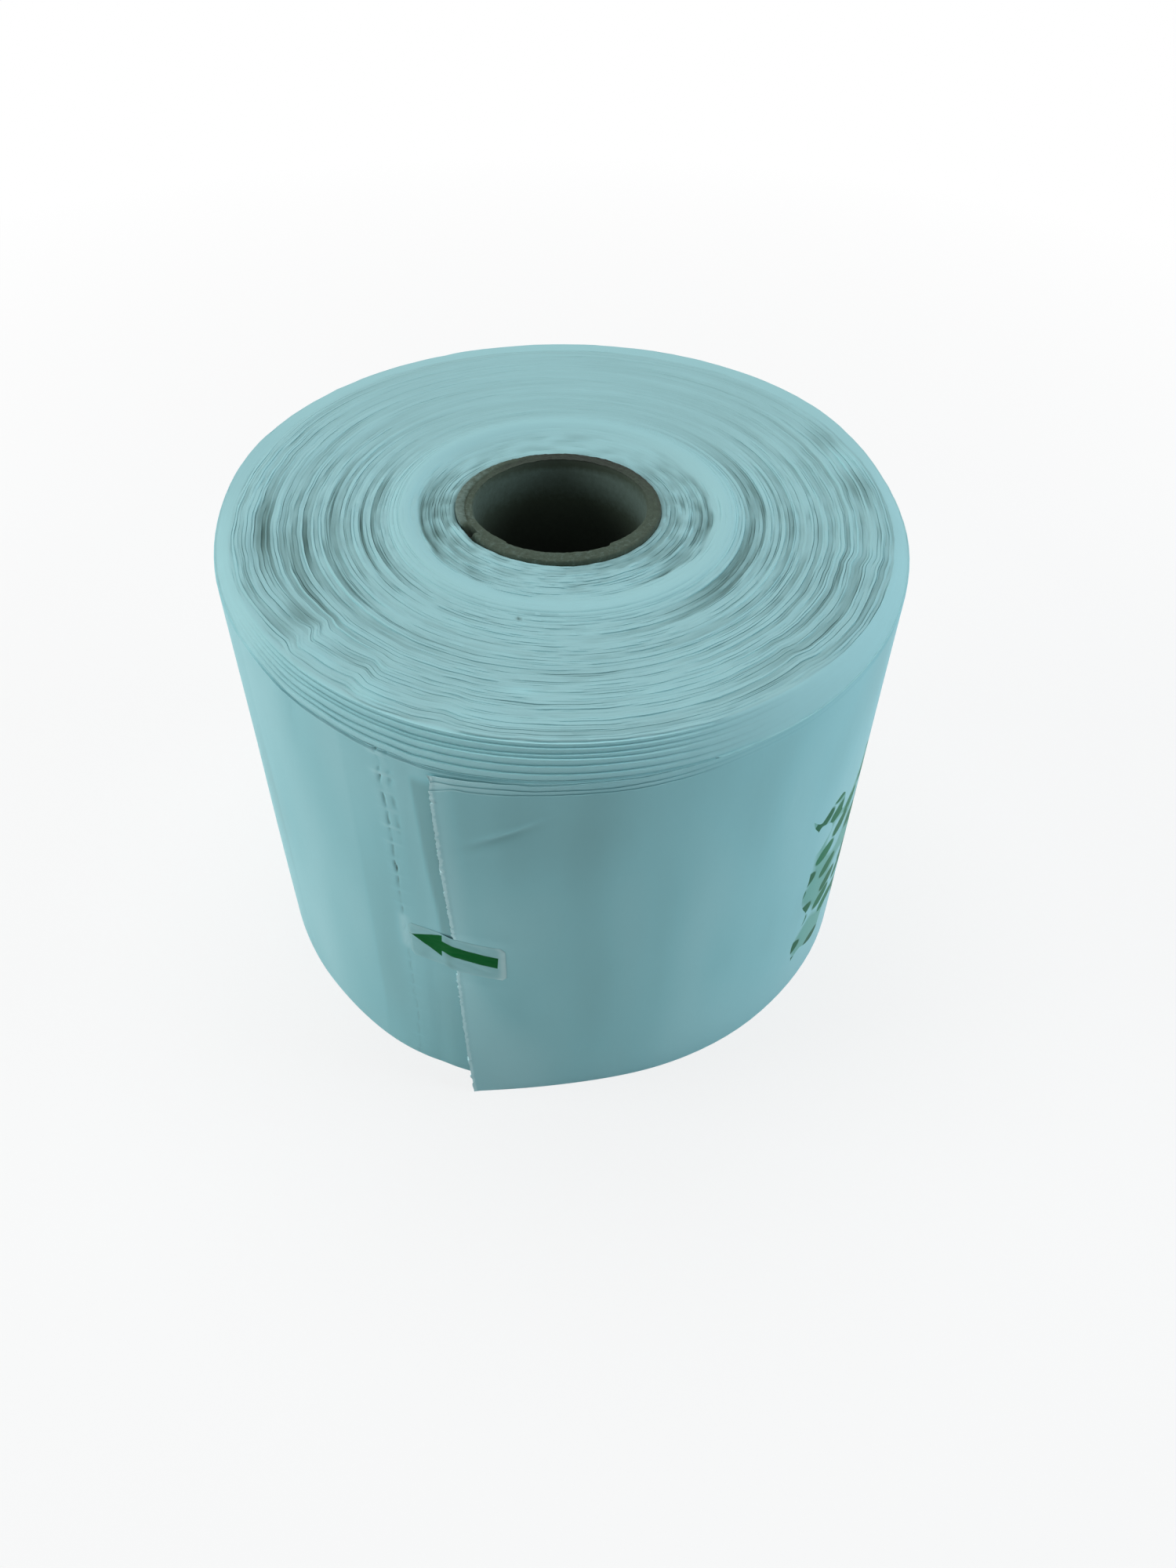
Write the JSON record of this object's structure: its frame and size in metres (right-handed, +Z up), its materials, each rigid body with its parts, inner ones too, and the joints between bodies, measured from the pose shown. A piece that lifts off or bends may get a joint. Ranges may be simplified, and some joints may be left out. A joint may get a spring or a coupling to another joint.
{
  "type": "roll of t-shirt bags",
  "caption": "Roll of flat-folded film carrier bags on a paperboard tube, standing on end, loose end held by tape; bags tear off at perforations.",
  "frame": {"origin": "on the roll's axis, in the plane of the edges that it stands on", "axes": "+Z up along the roll's axis, -Y towards the loose end and its tape, +X to the right of them"},
  "size_m": [0.1494, 0.1527, 0.112],
  "materials": {
    "film": "milky polyethylene film, satin, pale blue-green, with a green print",
    "paperboard": "spiral-wound grey-brown board, dull, worn at the rim",
    "tape": "clear matte tape with a plain green arrow"
  },
  "bodies": {
    "root": {"bag_web": "film", "core_tube": "paperboard", "closing_tape": "tape"}
  },
  "joints": []
}
